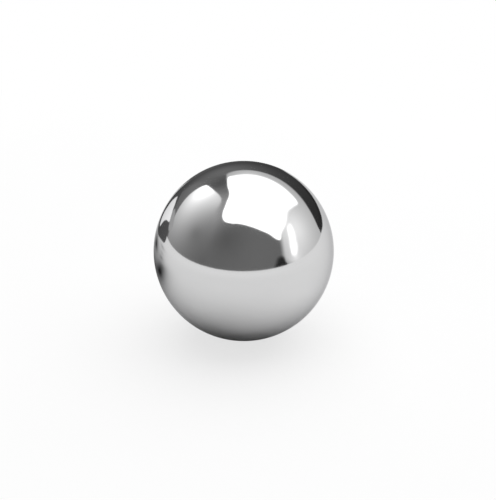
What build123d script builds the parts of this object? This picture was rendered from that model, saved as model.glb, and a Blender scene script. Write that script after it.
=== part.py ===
from build123d import *
import os

# Steel ball, in millimetres. +Z is up and the origin is the ball's centre.
# The real ball is headed, ground and lapped from one piece of solid steel,
# so it is one sphere with no flat, pole, seam or hole.

# Driving dimensions
ball_diameter = 25.4  # 1 inch, a stock size

# Ball
with BuildPart() as ball:
    Sphere(radius=ball_diameter / 2)
ball.part.label = "ball"

os.makedirs("parts", exist_ok=True)
export_step(ball.part, "parts/ball.step")
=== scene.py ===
"""Dresses the steel ball and lights it in a small photo studio. Lengths are in metres, angles in degrees."""

import logging
import math
from dataclasses import dataclass
from enum import Enum

import bpy
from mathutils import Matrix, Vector


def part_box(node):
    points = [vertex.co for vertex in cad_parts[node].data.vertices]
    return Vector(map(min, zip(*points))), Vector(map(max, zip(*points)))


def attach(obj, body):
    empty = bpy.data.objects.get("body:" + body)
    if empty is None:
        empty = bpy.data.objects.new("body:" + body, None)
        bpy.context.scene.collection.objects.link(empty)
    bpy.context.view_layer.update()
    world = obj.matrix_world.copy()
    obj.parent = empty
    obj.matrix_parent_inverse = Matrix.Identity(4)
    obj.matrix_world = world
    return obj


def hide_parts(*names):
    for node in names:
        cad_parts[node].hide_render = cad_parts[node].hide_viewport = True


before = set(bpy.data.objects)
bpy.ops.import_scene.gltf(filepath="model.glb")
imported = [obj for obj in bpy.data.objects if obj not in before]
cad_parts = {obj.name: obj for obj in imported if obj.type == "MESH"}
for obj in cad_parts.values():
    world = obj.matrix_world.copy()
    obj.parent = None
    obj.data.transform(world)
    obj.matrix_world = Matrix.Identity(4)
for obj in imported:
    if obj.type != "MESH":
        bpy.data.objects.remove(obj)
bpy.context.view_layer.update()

log = logging.getLogger("steel_ball")

BALL_NODE = "ball"
BALL_RADIUS = (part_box(BALL_NODE)[1].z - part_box(BALL_NODE)[0].z) / 2

# What a sheet's mesh holds for its soft rim, point by point
RIM_ATTRIBUTE = "from_rim"
FADE_ATTRIBUTE = "fade"

# A point of a card nearer to its middle than this share of the way is the middle itself
MIDDLE_SHARE = 1e-6

Colour = tuple[float, float, float]
Term = float | bpy.types.NodeSocket


@dataclass(frozen=True)
class Bearing:
    """A direction from the ball's centre.

    Azimuth 0 is the camera's side, and azimuth grows towards the picture's right.
    """

    azimuth: float
    elevation: float

    def unit(self) -> Vector:
        """Turns the bearing into a vector.

        Returns:
            The direction, one long.
        """
        around = math.radians(self.azimuth)
        up = math.radians(self.elevation)
        return Vector((math.sin(around) * math.cos(up), -math.cos(around) * math.cos(up), math.sin(up)))


@dataclass(frozen=True)
class RimPoint:
    """A point of a card's outline, and how many degrees the card takes to fade out there."""

    azimuth: float
    elevation: float
    fade: float = 1.5


@dataclass(frozen=True)
class Pool:
    """A pool of light on a card, brightest at its middle. Its reach is in degrees, seen from the ball.

    Most of the pools' values come from a least-squares fit to the photo. The others were set one by one.
    """

    azimuth: float
    elevation: float
    reach: float
    level: float


@dataclass(frozen=True)
class Shade:
    """A soft shade on the floor.

    Its place and reach are in ball radii, to the picture's right and away from the camera. The shades'
    values were printed by a least-squares fit to the photo's left rim. They weren't chosen by hand.
    """

    right: float
    away: float
    reach: float
    depth: float


class GroupKind(Enum):
    """The effects that more than one material uses."""

    POOL = "light_pool"
    FADE = "edge_fade"


class SocketKind(Enum):
    """The kinds of value that go into a node group."""

    NUMBER = "NodeSocketFloat"
    PLACE = "NodeSocketVector"


def clear_selection() -> None:
    """Leaves nothing selected, in object mode."""
    if bpy.context.object and bpy.context.object.mode != "OBJECT":
        bpy.ops.object.mode_set(mode="OBJECT")
    bpy.ops.object.select_all(action="DESELECT")


def smooth_point(before: Vector, start: Vector, end: Vector, after: Vector, t: float) -> Vector:
    """Finds a point on the smooth curve that runs from start to end.

    Args:
        before: The curve's point before start.
        start: Where the stretch starts.
        end: Where the stretch ends.
        after: The curve's point after end.
        t: How far along the stretch the point lies, from 0 to 1.

    Returns:
        The point, as a direction one long.
    """
    point = 0.5 * (
        2 * start
        + (end - before) * t
        + (2 * before - 5 * start + 4 * end - after) * t**2
        + (3 * start - before - 3 * end + after) * t**3
    )
    return point.normalized()


def add_rim_attributes(mesh: bpy.types.Mesh) -> None:
    """Adds the two attributes that the soft rim of a sheet reads."""
    for name in (RIM_ATTRIBUTE, FADE_ATTRIBUTE):
        mesh.attributes.new(name, "FLOAT", "POINT")


def new_material(name: str) -> tuple[bpy.types.Material, bpy.types.NodeTree]:
    """Makes an empty node material.

    Args:
        name: The material's name.

    Returns:
        The material and its node tree, which holds no nodes yet.
    """
    material = bpy.data.materials.new(name)
    material.use_nodes = True
    material.node_tree.nodes.clear()
    return material, material.node_tree


def add_node(tree: bpy.types.NodeTree, kind: str, **settings: object) -> bpy.types.Node:
    """Adds a node and sets its options.

    Args:
        tree: The node tree that takes the node.
        kind: Blender's name for the kind of node.
        settings: Options of the node by name, such as operation.

    Returns:
        The new node.
    """
    node = tree.nodes.new(kind)
    for key, value in settings.items():
        setattr(node, key, value)
    return node


def maths(tree: bpy.types.NodeTree, operation: str, *terms: Term) -> bpy.types.NodeSocket:
    """Adds a Math node.

    Args:
        tree: The node tree that takes the node.
        operation: Blender's name for the operation, such as MULTIPLY.
        terms: Its inputs in order, each a number or an output socket.

    Returns:
        The node's output socket.
    """
    node = add_node(tree, "ShaderNodeMath", operation=operation)
    for slot, term in zip(node.inputs, terms):
        if isinstance(term, bpy.types.NodeSocket):
            tree.links.new(term, slot)
        else:
            slot.default_value = term
    return node.outputs["Value"]


def object_place(tree: bpy.types.NodeTree) -> bpy.types.NodeSocket:
    """Returns the piece's own coordinates."""
    return add_node(tree, "ShaderNodeTexCoord").outputs["Object"]


def noise(
    tree: bpy.types.NodeTree, place: bpy.types.NodeSocket, size: float, detail: float = 2.0
) -> bpy.types.NodeSocket:
    """Adds a soft, cloudy pattern.

    Args:
        tree: The node tree that takes the pattern.
        place: The coordinates that it follows.
        size: How large its clouds are, in metres.
        detail: How much finer pattern the clouds hold.

    Returns:
        The pattern, from 0 to 1.
    """
    node = add_node(tree, "ShaderNodeTexNoise")
    node.inputs["Scale"].default_value = 1.0 / size
    node.inputs["Detail"].default_value = detail
    tree.links.new(place, node.inputs["Vector"])
    return node.outputs["Fac"]


def blend(
    tree: bpy.types.NodeTree, share: bpy.types.NodeSocket, first: Colour, second: Colour
) -> bpy.types.NodeSocket:
    """Adds a blend of two colours.

    Args:
        tree: The node tree that takes the blend.
        share: How much of the second colour shows, from 0 to 1.
        first: The colour at a share of 0.
        second: The colour at a share of 1.

    Returns:
        The blended colour.
    """
    mix = add_node(tree, "ShaderNodeMix", data_type="RGBA")
    mix.inputs["A"].default_value = (*first, 1.0)
    mix.inputs["B"].default_value = (*second, 1.0)
    tree.links.new(share, mix.inputs["Factor"])
    return mix.outputs["Result"]


def mix_shaders(tree: bpy.types.NodeTree, *parts: bpy.types.NodeSocket) -> bpy.types.NodeSocket:
    """Adds a mix of two shaders.

    Args:
        tree: The material's node tree.
        parts: How much of the second shader shows, then the first shader, then the second.

    Returns:
        The mixed shader.
    """
    mix = add_node(tree, "ShaderNodeMixShader")
    for slot, part in zip(mix.inputs, parts):
        tree.links.new(part, slot)
    return mix.outputs["Shader"]


def background_rays(tree: bpy.types.NodeTree, ray: bpy.types.Node) -> bpy.types.NodeSocket:
    """Adds the test for the rays that see the white background: the camera's, a mirror's and glass's.

    Args:
        tree: The material's or the world's node tree.
        ray: Its Light Path node.

    Returns:
        1 for such a ray, and 0 for the light that falls on things.
    """
    seen = maths(tree, "MAXIMUM", ray.outputs["Is Camera Ray"], ray.outputs["Is Glossy Ray"])
    return maths(tree, "MAXIMUM", seen, ray.outputs["Is Transmission Ray"])


def new_group(
    kind: GroupKind, inputs: dict[str, SocketKind], output: str
) -> tuple[bpy.types.NodeTree, bpy.types.Node, bpy.types.Node]:
    """Makes a node group with its sockets.

    Args:
        kind: Which effect the group gives.
        inputs: The kind of each input, by the input's name.
        output: The name of its one output, a number.

    Returns:
        The group, the node that gives its inputs, and the node that takes its output.
    """
    group = bpy.data.node_groups.new(kind.value, "ShaderNodeTree")
    for name, socket in inputs.items():
        group.interface.new_socket(name, in_out="INPUT", socket_type=socket.value)
    group.interface.new_socket(output, in_out="OUTPUT", socket_type=SocketKind.NUMBER.value)
    return group, add_node(group, "NodeGroupInput"), add_node(group, "NodeGroupOutput")


def light_pool_group() -> bpy.types.NodeTree:
    """Gives the group for a pool of lamp light on a sheet.

    Returns:
        The group, made the first time it is asked for.
    """
    found = bpy.data.node_groups.get(GroupKind.POOL.value)
    if found:
        return found
    inputs = {
        "Position": SocketKind.PLACE,
        "Middle": SocketKind.PLACE,
        "Reach": SocketKind.NUMBER,
        "Level": SocketKind.NUMBER,
    }
    group, given, result = new_group(GroupKind.POOL, inputs, "Glow")
    gap = add_node(group, "ShaderNodeVectorMath", operation="DISTANCE")
    for slot, name in zip(gap.inputs, ("Position", "Middle")):
        group.links.new(given.outputs[name], slot)
    share = maths(group, "DIVIDE", gap.outputs["Value"], given.outputs["Reach"])
    square = maths(group, "MULTIPLY", share, share)
    spread = maths(group, "ADD", square, 1.0)
    glow = maths(group, "DIVIDE", given.outputs["Level"], spread)
    group.links.new(glow, result.inputs["Glow"])
    return group


def edge_fade_group() -> bpy.types.NodeTree:
    """Gives the group that fades a sheet out at its rim.

    Returns:
        The group, made the first time it is asked for.
    """
    found = bpy.data.node_groups.get(GroupKind.FADE.value)
    if found:
        return found
    inputs = {"From rim": SocketKind.NUMBER, "Fade": SocketKind.NUMBER}
    group, given, result = new_group(GroupKind.FADE, inputs, "Cover")
    ease = add_node(group, "ShaderNodeMapRange", interpolation_type="SMOOTHSTEP")
    group.links.new(given.outputs["From rim"], ease.inputs["Value"])
    group.links.new(given.outputs["Fade"], ease.inputs["From Max"])
    group.links.new(ease.outputs["Result"], result.inputs["Cover"])
    return group


def light_pool(
    tree: bpy.types.NodeTree, place: bpy.types.NodeSocket, middle: Vector, reach: float, level: float
) -> bpy.types.NodeSocket:
    """Adds one pool of light.

    Args:
        tree: The sheet's node tree.
        place: The sheet's own coordinates.
        middle: Where the pool is brightest.
        reach: How far out it has half its light, in metres.
        level: Its light at the middle.

    Returns:
        The pool's light at each point.
    """
    spot = add_node(tree, "ShaderNodeGroup", node_tree=light_pool_group())
    tree.links.new(place, spot.inputs["Position"])
    spot.inputs["Middle"].default_value = middle
    spot.inputs["Reach"].default_value = reach
    spot.inputs["Level"].default_value = level
    return spot.outputs["Glow"]


@dataclass(frozen=True)
class LappedSteel:
    """Hard steel, lapped and polished to a mirror."""

    light_grey: Colour = (0.668, 0.668, 0.670)
    dark_grey: Colour = (0.652, 0.652, 0.655)
    edge_tint: Colour = (0.64, 0.64, 0.645)
    clear_roughness: float = 0.055
    hazy_roughness: float = 0.085
    haze_size: float = 0.004
    haze_detail: float = 5.0
    mark_size: float = 0.00012
    mark_depth: float = 0.000000015

    def add_haze(
        self, tree: bpy.types.NodeTree, steel: bpy.types.Node, place: bpy.types.NodeSocket
    ) -> None:
        """Gives the steel its faint haze, a little paler and duller in places.

        Args:
            tree: The steel's node tree.
            steel: Its Principled shader.
            place: The ball's own coordinates.
        """
        haze = noise(tree, place, self.haze_size, self.haze_detail)
        tone = blend(tree, haze, self.dark_grey, self.light_grey)
        tree.links.new(tone, steel.inputs["Base Color"])
        rough = add_node(tree, "ShaderNodeMapRange")
        rough.inputs["To Min"].default_value = self.clear_roughness
        rough.inputs["To Max"].default_value = self.hazy_roughness
        tree.links.new(haze, rough.inputs["Value"])
        tree.links.new(rough.outputs["Result"], steel.inputs["Roughness"])

    def add_marks(
        self, tree: bpy.types.NodeTree, steel: bpy.types.Node, place: bpy.types.NodeSocket
    ) -> None:
        """Gives the steel the fine marks that lapping leaves.

        Args:
            tree: The steel's node tree.
            steel: Its Principled shader.
            place: The ball's own coordinates.
        """
        bump = add_node(tree, "ShaderNodeBump")
        bump.inputs["Distance"].default_value = self.mark_depth
        tree.links.new(noise(tree, place, self.mark_size), bump.inputs["Height"])
        tree.links.new(bump.outputs["Normal"], steel.inputs["Normal"])

    def material(self) -> bpy.types.Material:
        """Makes the polished steel, patterned in the ball's own coordinates.

        Returns:
            The steel's material.
        """
        material, tree = new_material("polished_steel")
        output = add_node(tree, "ShaderNodeOutputMaterial")
        steel = add_node(tree, "ShaderNodeBsdfPrincipled")
        steel.inputs["Metallic"].default_value = 1.0
        steel.inputs["Specular Tint"].default_value = (*self.edge_tint, 1.0)
        tree.links.new(steel.outputs["BSDF"], output.inputs["Surface"])
        place = object_place(tree)
        self.add_haze(tree, steel, place)
        self.add_marks(tree, steel, place)
        return material


@dataclass
class SteelBall:
    """The ball: one true sphere of quads, with no pole and no seam."""

    radius: float = BALL_RADIUS
    first_cuts: int = 2
    smoothing_levels: int = 5
    finish: LappedSteel = LappedSteel()

    def model(self) -> bpy.types.Object:
        """Models the ball from a cube, cut into small squares, rounded and laid exactly on the sphere.

        Returns:
            The ball's mesh object.
        """
        clear_selection()
        bpy.ops.mesh.primitive_cube_add(size=2 * self.radius)
        ball = bpy.context.object
        ball.name = "steel_ball"
        ball.data.name = "steel_ball"
        bpy.ops.object.mode_set(mode="EDIT")
        bpy.ops.mesh.select_all(action="SELECT")
        bpy.ops.mesh.subdivide(number_cuts=self.first_cuts)
        bpy.ops.transform.tosphere(value=1.0)
        bpy.ops.mesh.normals_make_consistent(inside=False)
        bpy.ops.object.mode_set(mode="OBJECT")
        smoothing = ball.modifiers.new("smoothing", "SUBSURF")
        smoothing.levels = self.smoothing_levels
        smoothing.render_levels = self.smoothing_levels
        bpy.ops.object.modifier_apply(modifier=smoothing.name)
        truing = ball.modifiers.new("truing", "CAST")
        truing.cast_type = "SPHERE"
        truing.factor = 1.0
        truing.use_radius_as_size = False
        truing.size = self.radius
        bpy.ops.object.modifier_apply(modifier=truing.name)
        bpy.ops.object.shade_smooth()
        return ball

    def dress(self, ball: bpy.types.Object) -> None:
        """Gives the ball its steel, its body and its place in the frame.

        Args:
            ball: The ball's mesh object.
        """
        ball.data.materials.append(self.finish.material())
        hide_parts(BALL_NODE)
        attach(ball, "root")

    def build(self) -> bpy.types.Object:
        """Models the ball and dresses it.

        Returns:
            The finished ball.
        """
        ball = self.model()
        self.dress(ball)
        return ball


@dataclass(frozen=True)
class CardCloth:
    """Cloth or board that glows at a set level, with pools of lamp light, painted shade and painted fold
    shading.
    """

    level: float
    pools: tuple[Pool, ...] = ()
    fold_shade_strength: float = 0.0
    fold_shade_size: float = 0.12

    def glow(
        self, tree: bpy.types.NodeTree, place: bpy.types.NodeSocket, distance: float
    ) -> bpy.types.NodeSocket:
        """Adds the cloth's glow, with its pools of light and painted shade and its painted fold shading.

        Args:
            tree: The card's node tree.
            place: The card's own coordinates.
            distance: How far the card hangs from the ball.

        Returns:
            The glow's strength at each point, never below 0.
        """
        glow: Term = self.level
        for pool in self.pools:
            middle = Bearing(pool.azimuth, pool.elevation).unit() * distance
            reach = math.radians(pool.reach) * distance
            glow = maths(tree, "ADD", glow, light_pool(tree, place, middle, reach, pool.level))
        # Painted fold shading: a soft noise makes the glow brighter and darker in places, as creases in the
        # cloth would light and shade it
        if self.fold_shade_strength:
            fold_shade = noise(tree, place, self.fold_shade_size)
            swing = maths(tree, "MULTIPLY_ADD", fold_shade, 2 * self.fold_shade_strength, 1 - self.fold_shade_strength)
            glow = maths(tree, "MULTIPLY", glow, swing)
        return maths(tree, "MAXIMUM", glow, 0.0)

    def cover(self, tree: bpy.types.NodeTree) -> bpy.types.NodeSocket:
        """Adds the soft rim.

        Args:
            tree: The card's node tree.

        Returns:
            How solid the card is at each point, from 0 to 1.
        """
        from_rim = add_node(tree, "ShaderNodeAttribute", attribute_name=RIM_ATTRIBUTE)
        fade = add_node(tree, "ShaderNodeAttribute", attribute_name=FADE_ATTRIBUTE)
        edge = add_node(tree, "ShaderNodeGroup", node_tree=edge_fade_group())
        tree.links.new(from_rim.outputs["Fac"], edge.inputs["From rim"])
        tree.links.new(fade.outputs["Fac"], edge.inputs["Fade"])
        return edge.outputs["Cover"]

    def material(self, name: str, distance: float) -> bpy.types.Material:
        """Makes the cloth of one card.

        Args:
            name: The card's name.
            distance: How far the card hangs from the ball.

        Returns:
            The card's material.
        """
        material, tree = new_material(name)
        output = add_node(tree, "ShaderNodeOutputMaterial")
        light = add_node(tree, "ShaderNodeEmission")
        tree.links.new(self.glow(tree, object_place(tree), distance), light.inputs["Strength"])
        clear = add_node(tree, "ShaderNodeBsdfTransparent")
        sheet = mix_shaders(tree, self.cover(tree), clear.outputs["BSDF"], light.outputs["Emission"])
        tree.links.new(sheet, output.inputs["Surface"])
        # The overhead lamp lights the floor, so the cards are only ever seen and never sampled as lamps
        material.cycles.emission_sampling = "NONE"
        return material


@dataclass
class Card:
    """A sheet of cloth or board, bent round the ball, that the ball mirrors and the camera doesn't see."""

    name: str
    distance: float
    middle: Bearing
    rim: tuple[RimPoint, ...]
    cloth: CardCloth
    steps: int = 10
    rings: int = 12

    def outline(self) -> list[tuple[Vector, float]]:
        """Draws a smooth line through the rim's own points.

        Returns:
            Directions along the rim, each with its fade.
        """
        units = [Bearing(point.azimuth, point.elevation).unit() for point in self.rim]
        fades = [point.fade for point in self.rim]
        count = len(units)
        line = []
        for i in range(count):
            following = (i + 1) % count
            corners = (units[i - 1], units[i], units[following], units[(i + 2) % count])
            for k in range(self.steps):
                t = k / self.steps
                fade = fades[i] + (fades[following] - fades[i]) * t
                line.append((smooth_point(*corners, t), fade))
        return line

    def model(self) -> bpy.types.Object:
        """Models the card from a circle, with rings of points drawn in from the rim to the middle.

        Returns:
            The card's mesh object.
        """
        line = self.outline()
        clear_selection()
        bpy.ops.mesh.primitive_circle_add(vertices=len(line), radius=1.0)
        card = bpy.context.object
        card.name = self.name
        bpy.ops.object.mode_set(mode="EDIT")
        bpy.ops.mesh.select_all(action="SELECT")
        for ring in range(self.rings - 1, 0, -1):
            bpy.ops.mesh.extrude_edges_indiv()
            inward = ring / (ring + 1)
            bpy.ops.transform.resize(value=(inward, inward, 1.0), center_override=(0.0, 0.0, 0.0))
        bpy.ops.mesh.extrude_edges_indiv()
        bpy.ops.mesh.merge(type="CENTER")
        bpy.ops.object.mode_set(mode="OBJECT")
        self.hang(card, line)
        return card

    def hang(self, card: bpy.types.Object, line: list[tuple[Vector, float]]) -> None:
        """Bends the flat rings round the ball and writes how far each point is from the rim.

        Args:
            card: The card's flat disc, with a radius of 1.
            line: The rim's directions and fades, in order.
        """
        middle = self.middle.unit()
        add_rim_attributes(card.data)
        from_rim = card.data.attributes[RIM_ATTRIBUTE]
        fade = card.data.attributes[FADE_ATTRIBUTE]
        for vertex in card.data.vertices:
            share = min(1.0, vertex.co.xy.length)
            turn = math.atan2(-vertex.co.x, vertex.co.y) % math.tau
            edge, soft = line[round(turn / math.tau * len(line)) % len(line)]
            from_rim.data[vertex.index].value = math.degrees(middle.angle(edge)) * (1 - share)
            fade.data[vertex.index].value = soft
            direction = middle.slerp(edge, share) if share > MIDDLE_SHARE else middle
            vertex.co = direction * self.distance

    def build(self) -> bpy.types.Object:
        """Models the card and dresses it. The camera doesn't see it, it casts no shadow and it lights
        nothing.

        Returns:
            The finished card.
        """
        card = self.model()
        card.data.materials.append(self.cloth.material(self.name, self.distance))
        card.visible_camera = False
        card.visible_shadow = False
        card.visible_diffuse = False
        return card


@dataclass
class Dome:
    """The dark cloth tent round the whole studio. It is solid all over, as if its rim were far away."""

    radius: float
    cloth: CardCloth
    cuts: int = 5
    from_rim: float = 90.0
    fade: float = 1.0

    def build(self) -> bpy.types.Object:
        """Models the tent and dresses it. The camera doesn't see it, and it casts no shadow.

        Returns:
            The finished tent.
        """
        clear_selection()
        bpy.ops.mesh.primitive_ico_sphere_add(subdivisions=self.cuts, radius=self.radius)
        dome = bpy.context.object
        dome.name = "dark_tent"
        add_rim_attributes(dome.data)
        for name, value in ((RIM_ATTRIBUTE, self.from_rim), (FADE_ATTRIBUTE, self.fade)):
            for point in dome.data.attributes[name].data:
                point.value = value
        dome.data.materials.append(self.cloth.material(dome.name, self.radius))
        dome.visible_camera = False
        dome.visible_shadow = False
        return dome


@dataclass(frozen=True)
class PaleFloor:
    """The pale floor.

    It is lit paper near the ball, so it keeps the shadow, and turns to plain white further out.
    """

    height: float = -BALL_RADIUS
    radius: float = 1.06
    corners: int = 256
    paper: Colour = (0.88, 0.88, 0.88)
    paper_dim: Colour = (0.85, 0.85, 0.85)
    grain_size: float = 0.02
    white_from: float = 0.02
    white_by: float = 0.16
    glow_share: float = 0.72
    shade_colour: Colour = (0.02, 0.02, 0.02)
    shades: tuple[Shade, ...] = (
        Shade(-2.13, 0.89, 0.74, 0.49),
        Shade(-2.84, 0.93, 0.91, 0.52),
        Shade(-3.81, 1.53, 0.55, 0.38),
        Shade(-2.98, 2.84, 0.86, 0.64),
        Shade(-1.20, 1.78, 1.52, 0.82),
        Shade(-3.60, 3.53, 1.18, 0.50),
        Shade(-6.35, 3.06, 1.07, 0.41),
        Shade(-4.74, 2.00, 0.64, 0.26),
    )

    def whiteness(
        self, tree: bpy.types.NodeTree, place: bpy.types.NodeSocket, ray: bpy.types.Node
    ) -> bpy.types.NodeSocket:
        """Adds how much of the plain white shows in place of the lit paper.

        Args:
            tree: The floor's node tree.
            place: The floor's own coordinates.
            ray: The floor's Light Path node.

        Returns:
            The share of white at each point, from 0 to 1.
        """
        out = add_node(tree, "ShaderNodeVectorMath", operation="LENGTH")
        tree.links.new(place, out.inputs["Vector"])
        far = add_node(tree, "ShaderNodeMapRange", interpolation_type="SMOOTHERSTEP")
        far.inputs["From Min"].default_value = self.white_from
        far.inputs["From Max"].default_value = self.white_by
        tree.links.new(out.outputs["Value"], far.inputs["Value"])
        spread = maths(tree, "MULTIPLY", background_rays(tree, ray), far.outputs["Result"])
        near = maths(tree, "MULTIPLY", ray.outputs["Is Camera Ray"], self.glow_share)
        return maths(tree, "MAXIMUM", spread, near)

    def lost_light(
        self, tree: bpy.types.NodeTree, place: bpy.types.NodeSocket, ray: bpy.types.Node
    ) -> bpy.types.NodeSocket:
        """Adds the soft shades at the left, which only the ball mirrors.

        Args:
            tree: The floor's node tree.
            place: The floor's own coordinates.
            ray: The floor's Light Path node.

        Returns:
            How much of the floor's light is lost at each point, from 0 to 1.
        """
        lost: Term = 0.0
        for shade in self.shades:
            middle = Vector((shade.right * BALL_RADIUS, shade.away * BALL_RADIUS, self.height))
            # The glow is squared, so that a shade ends sooner than a pool of light does
            glow = light_pool(tree, place, middle, shade.reach * BALL_RADIUS, math.sqrt(shade.depth))
            lost = maths(tree, "MULTIPLY_ADD", glow, glow, lost)
        return maths(tree, "MULTIPLY", maths(tree, "MINIMUM", lost, 1.0), ray.outputs["Is Glossy Ray"])

    def material(self) -> bpy.types.Material:
        """Makes the floor's paper, with the white that the camera and the ball see further out.

        Returns:
            The floor's material, which is clear to a camera below it.
        """
        material, tree = new_material("pale_floor")
        output = add_node(tree, "ShaderNodeOutputMaterial")
        place = object_place(tree)
        ray = add_node(tree, "ShaderNodeLightPath")
        paper = add_node(tree, "ShaderNodeBsdfDiffuse")
        tone = blend(tree, noise(tree, place, self.grain_size), self.paper_dim, self.paper)
        tree.links.new(tone, paper.inputs["Color"])
        white = add_node(tree, "ShaderNodeEmission")
        dark = add_node(tree, "ShaderNodeBsdfDiffuse")
        dark.inputs["Color"].default_value = (*self.shade_colour, 1.0)
        clear = add_node(tree, "ShaderNodeBsdfTransparent")
        side = add_node(tree, "ShaderNodeNewGeometry")
        under = maths(tree, "MULTIPLY", side.outputs["Backfacing"], ray.outputs["Is Camera Ray"])
        shown = self.whiteness(tree, place, ray)
        lost = self.lost_light(tree, place, ray)
        top = mix_shaders(tree, shown, paper.outputs["BSDF"], white.outputs["Emission"])
        top = mix_shaders(tree, lost, top, dark.outputs["BSDF"])
        top = mix_shaders(tree, under, top, clear.outputs["BSDF"])
        tree.links.new(top, output.inputs["Surface"])
        return material

    def build(self) -> bpy.types.Object:
        """Models the floor and dresses it.

        Returns:
            The finished floor.
        """
        clear_selection()
        bpy.ops.mesh.primitive_circle_add(
            vertices=self.corners, radius=self.radius, fill_type="NGON", location=(0.0, 0.0, self.height)
        )
        floor = bpy.context.object
        floor.name = "pale_floor"
        bpy.ops.object.transform_apply(location=True, rotation=True, scale=True)
        floor.data.materials.append(self.material())
        return floor


@dataclass(frozen=True)
class OverheadLamp:
    """The soft lamp behind the overhead card. It lights the floor, and the ball mirrors the card instead."""

    right: float = 0.35
    away: float = 0.50
    height: float = 0.90
    width: float = 1.8
    depth: float = 1.8
    power: float = 20.5

    def build(self) -> bpy.types.Object:
        """Makes the lamp, which shines straight down.

        Returns:
            The lamp.
        """
        data = bpy.data.lights.new("overhead_lamp", "AREA")
        data.shape = "RECTANGLE"
        data.size = self.width
        data.size_y = self.depth
        data.energy = self.power
        lamp = bpy.data.objects.new("overhead_lamp", data)
        lamp.location = (self.right, self.away, self.height)
        lamp.visible_camera = False
        lamp.visible_glossy = False
        bpy.context.scene.collection.objects.link(lamp)
        return lamp


@dataclass(frozen=True)
class Studio:
    """The room that the ball mirrors: lights, walls and flags in a dark tent, over a pale floor.

    The fields that start with to_ say how far each thing hangs from the ball's centre. The foot of a wall is
    an elevation, low enough to be out of sight under the floor.
    """

    to_overhead: float = 0.90
    to_corner_flag: float = 0.95
    to_strip_light: float = 0.98
    to_lit_wall: float = 1.00
    to_pale_wall: float = 1.05
    to_back_flag: float = 1.12
    to_tent: float = 1.5
    to_rear_flag: float = 5.0 * BALL_RADIUS
    to_side_card: float = 5.0 * BALL_RADIUS
    to_side_veil: float = 5.05 * BALL_RADIUS
    to_side_flag: float = 5.1 * BALL_RADIUS
    to_low_flag: float = 17.3 * BALL_RADIUS
    wall_foot: float = -4.0

    def overhead(self) -> Card:
        """Gives the wide soft light above.

        Returns:
            The card, with the outline that the ball mirrors.
        """
        return Card(
            name="overhead_light",
            distance=self.to_overhead,
            middle=Bearing(60, 80),
            rim=(
                RimPoint(-10, 56.4),
                RimPoint(15, 52.0),
                RimPoint(30, 45.3),
                RimPoint(40, 38.9),
                RimPoint(48, 30.0),
                RimPoint(54, 27.5, 2.0),
                RimPoint(60, 32.6, 4.0),
                RimPoint(75, 36.6, 5.0),
                RimPoint(95, 40.6, 6.0),
                RimPoint(110, 35.6, 5.0),
                RimPoint(122, 29.6, 3.0),
                RimPoint(135, 34.2, 5.0),
                RimPoint(150, 38.2, 6.0),
                RimPoint(170, 41.3, 6.0),
                RimPoint(190, 43.6, 5.0),
                RimPoint(197, 45.8, 2.0),
                RimPoint(210, 60.3),
                RimPoint(225, 69.8),
                RimPoint(245, 73.1),
                RimPoint(270, 71.8),
                RimPoint(285, 69),
                RimPoint(300, 62.3),
                RimPoint(310, 57.2),
                RimPoint(320, 54.8),
                RimPoint(335, 55.4),
            ),
            cloth=CardCloth(level=2.2),
        )

    def lit_wall(self) -> Card:
        """Gives the wall at the left, with a lamp close to its far end.

        Returns:
            The wall's card.
        """
        return Card(
            name="lit_wall",
            distance=self.to_lit_wall,
            middle=Bearing(-100, 34),
            rim=(
                RimPoint(-144.2, 38),
                RimPoint(-142.6, 32, 2.0),
                RimPoint(-136, 24, 2.0),
                RimPoint(-127, 16, 2.0),
                RimPoint(-119, 8, 2.0),
                RimPoint(-111, self.wall_foot, 2.0),
                RimPoint(-80, self.wall_foot, 3.0),
                RimPoint(-46, self.wall_foot, 14.0),
                RimPoint(-42, 25, 14.0),
                RimPoint(-46, 48, 14.0),
                RimPoint(-62, 60, 10.0),
                RimPoint(-80, 67, 6.0),
                RimPoint(-95, 67.8, 2.0),
                RimPoint(-107, 67.4),
                RimPoint(-120.5, 63.6),
                RimPoint(-131.3, 56),
                RimPoint(-139.6, 46),
            ),
            cloth=CardCloth(
                level=0.02,
                pools=(
                    Pool(-139, 44, 9, 3.0),
                    Pool(-104, 64, 15, 0.36),
                    Pool(-121, 34, 30, 0.62),
                    # A negative level makes this a pool of painted shade on the wall
                    Pool(-76, 28, 11, -0.12),
                ),
            ),
        )

    def pale_wall(self) -> Card:
        """Gives the pale wall at the right, which runs on behind the ball as a narrow band.

        Returns:
            The wall's card.
        """
        return Card(
            name="pale_wall",
            distance=self.to_pale_wall,
            middle=Bearing(105, 45),
            rim=(
                RimPoint(49.3, self.wall_foot, 13.0),
                RimPoint(86, self.wall_foot, 1.0),
                RimPoint(117.5, self.wall_foot, 1.5),
                RimPoint(120, 6, 2.0),
                RimPoint(126.5, 15.6, 3.0),
                RimPoint(138, 23.2, 4.0),
                RimPoint(152, 28.6, 4.0),
                RimPoint(180, 32.6, 4.5),
                RimPoint(193, 35, 4.5),
                RimPoint(197, 42),
                RimPoint(200, 55),
                RimPoint(150, 70),
                RimPoint(80, 70),
                RimPoint(50, 50),
                RimPoint(48.5, 25, 14.0),
            ),
            cloth=CardCloth(
                level=0.53,
                pools=(
                    Pool(81, 29, 24, 0.66),
                    Pool(67, 2, 7, 0.34),
                    Pool(176, 44, 11, 0.26),
                ),
            ),
        )

    def strip_light(self) -> Card:
        """Gives the slim lamp that stands before the pale wall.

        Returns:
            The lamp's card.
        """
        return Card(
            name="strip_light",
            distance=self.to_strip_light,
            middle=Bearing(70, 20),
            rim=(
                RimPoint(61.5, 5, 5.0),
                RimPoint(60.5, 12, 5.0),
                RimPoint(61.5, 20, 5.0),
                RimPoint(66, 29, 5.0),
                RimPoint(73, 37, 5.0),
                RimPoint(83, 37, 5.0),
                RimPoint(82, 29, 6.0),
                RimPoint(78.5, 19, 7.0),
                RimPoint(75, 10, 7.0),
                RimPoint(68, 2, 7.0),
            ),
            cloth=CardCloth(level=1.8),
        )

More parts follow.
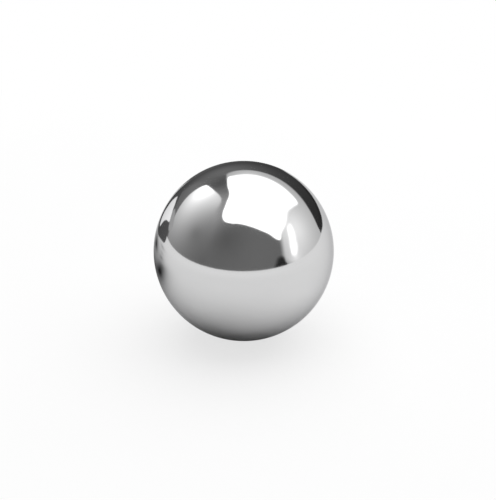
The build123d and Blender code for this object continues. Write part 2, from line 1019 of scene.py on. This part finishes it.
    def corner_flag(self) -> Card:
        """Gives the small black flag at the foot of the pale wall.

        Returns:
            The flag's card.
        """
        return Card(
            name="corner_flag",
            distance=self.to_corner_flag,
            middle=Bearing(47, 3),
            rim=(
                RimPoint(34, self.wall_foot, 7.0),
                RimPoint(36, 4, 7.0),
                RimPoint(40, 11.5, 7.0),
                RimPoint(47, 13, 5.0),
                RimPoint(52, 10, 4.0),
                RimPoint(53.5, 4, 3.0),
                RimPoint(54, self.wall_foot, 2.0),
            ),
            cloth=CardCloth(level=0.03),
        )

    def back_flag(self) -> Card:
        """Gives the black flag behind the ball, below the pale wall's narrow band.

        Returns:
            The flag's card.
        """
        return Card(
            name="back_flag",
            distance=self.to_back_flag,
            middle=Bearing(160, 16),
            rim=(
                RimPoint(108, -5, 2.0),
                RimPoint(160, -5, 2.0),
                RimPoint(208, -5, 6.0),
                RimPoint(212, 18, 10.0),
                RimPoint(206, 40, 6.0),
                RimPoint(160, 42, 2.0),
                RimPoint(114, 34, 2.0),
            ),
            cloth=CardCloth(level=0.015, pools=(Pool(194, 28, 24, 0.20),)),
        )

    def rear_flag(self) -> Card:
        """Gives the low black flag close behind the ball, which the ball's upper edge mirrors.

        Returns:
            The flag's card.
        """
        return Card(
            name="rear_flag",
            distance=self.to_rear_flag,
            middle=Bearing(182, 8),
            rim=(
                RimPoint(172, -14, 3.0),
                RimPoint(169, -6, 3.0),
                RimPoint(167, 0, 3.0),
                RimPoint(163.5, 4.4, 3.0),
                RimPoint(157, 5.4, 4.0),
                RimPoint(151, 6.4, 4.0),
                RimPoint(149, 11, 5.0),
                RimPoint(152, 16, 6.0),
                RimPoint(180, 19, 6.0),
                RimPoint(206, 16, 6.0),
                RimPoint(206, 8, 5.0),
                RimPoint(202, 0, 5.0),
                RimPoint(200, -6, 5.0),
                RimPoint(196, -14, 5.0),
            ),
            cloth=CardCloth(level=0.055, pools=(Pool(195, 8, 16, 0.115),)),
        )

    def side_flag(self) -> Card:
        """Gives the black flag close by, at the left and behind.

        Returns:
            The flag's card.
        """
        return Card(
            name="side_flag",
            distance=self.to_side_flag,
            middle=Bearing(-128, 5),
            rim=(
                RimPoint(-158, 9, 1.0),
                RimPoint(-148, 14, 1.0),
                RimPoint(-133, 18, 1.0),
                RimPoint(-119, 14.5, 1.0),
                RimPoint(-111, 8, 1.0),
                RimPoint(-108.2, 2, 1.0),
                RimPoint(-110.2, -3, 1.0),
                RimPoint(-120.5, -5.8, 1.0),
                RimPoint(-138, -10, 1.0),
                RimPoint(-153, -10, 1.0),
                RimPoint(-157, 0, 1.0),
            ),
            cloth=CardCloth(level=0.115),
        )

    def side_card(self) -> Card:
        """Gives the small white card that hangs before the side flag.

        Returns:
            The card.
        """
        return Card(
            name="side_card",
            distance=self.to_side_card,
            middle=Bearing(-134, 4),
            rim=(
                RimPoint(-142.3, 11.8, 1.0),
                RimPoint(-136, 14.4, 1.0),
                RimPoint(-129.5, 15.0, 1.0),
                RimPoint(-121, 13.0, 1.0),
                RimPoint(-117, 10.2, 1.0),
                RimPoint(-119.8, 8.6, 1.0),
                RimPoint(-125.8, 5.3, 1.0),
                RimPoint(-131.6, -0.3, 1.0),
                RimPoint(-136.2, -5.8, 1.0),
                RimPoint(-141.0, -6.6, 1.5),
                RimPoint(-144.8, -4.2, 1.5),
                RimPoint(-145.3, 0.2, 1.5),
                RimPoint(-145.8, 4.2, 1.5),
            ),
            cloth=CardCloth(level=1.35),
        )

    def side_veil(self) -> Card:
        """Gives the narrow grey card between the side card and the lit wall.

        Returns:
            The card.
        """
        return Card(
            name="side_veil",
            distance=self.to_side_veil,
            middle=Bearing(-115, 12),
            rim=(
                RimPoint(-126, 16.6, 1.5),
                RimPoint(-119, 19, 2.0),
                RimPoint(-112, 18, 2.0),
                RimPoint(-106, 14, 2.0),
                RimPoint(-106, 9, 2.0),
                RimPoint(-110, 6.5, 3.0),
                RimPoint(-117, 9, 3.0),
                RimPoint(-124, 12.5, 1.0),
            ),
            cloth=CardCloth(level=0.48),
        )

    def low_flag(self) -> Card:
        """Gives the low black flag that hangs further off at the right, behind the ball.

        Returns:
            The flag's card.
        """
        return Card(
            name="low_flag",
            distance=self.to_low_flag,
            middle=Bearing(145, 3),
            rim=(
                RimPoint(122, 0.5, 1.0),
                RimPoint(130, -0.6, 1.0),
                RimPoint(139, -0.7, 1.0),
                RimPoint(149, -0.4, 1.0),
                RimPoint(158, -0.4, 1.0),
                RimPoint(166, -0.6, 1.0),
                RimPoint(168, 4, 3.0),
                RimPoint(158, 7, 3.0),
                RimPoint(140, 6, 3.0),
                RimPoint(126, 4, 3.0),
            ),
            cloth=CardCloth(level=0.035),
        )

    def tent(self) -> Dome:
        """Gives the dark tent, with faint painted fold shading, a little stray light and some painted shade
        on its cloth.

        Returns:
            The tent.
        """
        return Dome(
            radius=self.to_tent,
            cloth=CardCloth(
                level=0.10,
                pools=(
                    Pool(6, 20, 90, 0.095),
                    Pool(-78, 49, 18, 0.41),
                    Pool(-97, 69, 12, 0.11),
                    # The two pools with a negative level are pools of painted shade on the tent's cloth
                    Pool(-32, 40, 26, -0.124),
                    Pool(-150, 52, 14, -0.105),
                    Pool(-147, 23, 14, 0.085),
                ),
                fold_shade_strength=0.05,
            ),
        )

    def sky(self) -> None:
        """Sets the world: white to the camera, to mirrors and to glass, with no light of its own."""
        world = bpy.data.worlds.new("studio_sky")
        bpy.context.scene.world = world
        world.use_nodes = True
        tree = world.node_tree
        tree.nodes.clear()
        output = add_node(tree, "ShaderNodeOutputWorld")
        sky = add_node(tree, "ShaderNodeBackground")
        sky.inputs["Color"].default_value = (1.0, 1.0, 1.0, 1.0)
        ray = add_node(tree, "ShaderNodeLightPath")
        tree.links.new(background_rays(tree, ray), sky.inputs["Strength"])
        tree.links.new(sky.outputs["Background"], output.inputs["Surface"])

    def build(self) -> list[bpy.types.Object]:
        """Builds the sky, the lamp, the floor, the tent and the cards.

        Returns:
            The floor, the tent and the cards.
        """
        self.sky()
        OverheadLamp().build()
        made = [PaleFloor().build(), self.tent().build()]
        cards = (
            self.overhead(),
            self.lit_wall(),
            self.pale_wall(),
            self.strip_light(),
            self.corner_flag(),
            self.back_flag(),
            self.rear_flag(),
            self.side_flag(),
            self.side_card(),
            self.side_veil(),
            self.low_flag(),
        )
        made.extend(card.build() for card in cards)
        return made


@dataclass(frozen=True)
class Viewpoint:
    """The camera, placed so that the ball's outline has its size and place in the picture."""

    elevation: float = 24.05
    distance: float = 10 * BALL_RADIUS
    picture_width: float = 496
    picture_height: float = 500
    outline_radius: float = 90.17
    ball_x: float = 243.80
    ball_y: float = 250.97
    sensor: float = 36.0
    sees_from: float = 0.01
    sees_to: float = 10.0

    def build(self) -> bpy.types.Object:
        """Places the camera, which becomes the scene's own.

        Returns:
            The camera.
        """
        pixels_per_slope = self.outline_radius / math.tan(math.asin(BALL_RADIUS / self.distance))
        data = bpy.data.cameras.new("camera")
        data.sensor_width = self.sensor
        data.lens = pixels_per_slope * self.sensor / max(self.picture_width, self.picture_height)
        camera = bpy.data.objects.new("camera", data)
        bpy.context.scene.collection.objects.link(camera)
        back = Bearing(0, self.elevation).unit()
        right = Vector((1.0, 0.0, 0.0))
        up = back.cross(right)
        metres_per_pixel = self.distance / pixels_per_slope
        aim = (
            right * (self.picture_width / 2 - self.ball_x) * metres_per_pixel
            - up * (self.picture_height / 2 - self.ball_y) * metres_per_pixel
        )
        camera.location = back * self.distance
        camera.rotation_euler = (aim - camera.location).to_track_quat("-Z", "Y").to_euler()
        data.clip_start = self.sees_from
        data.clip_end = self.sees_to
        bpy.context.scene.camera = camera
        return camera


def main() -> None:
    """Builds the ball, the studio and the camera."""
    logging.basicConfig(level=logging.INFO, format="%(message)s")
    ball = SteelBall().build()
    log.info("%s: %d faces", ball.name, len(ball.data.polygons))
    for thing in Studio().build():
        log.info("%s: %d faces", thing.name, len(thing.data.polygons))
    camera = Viewpoint().build()
    log.info("%s: lens %.1f mm", camera.name, camera.data.lens)
    bpy.context.scene.view_settings.view_transform = "Standard"


if __name__ == "__main__":
    main()
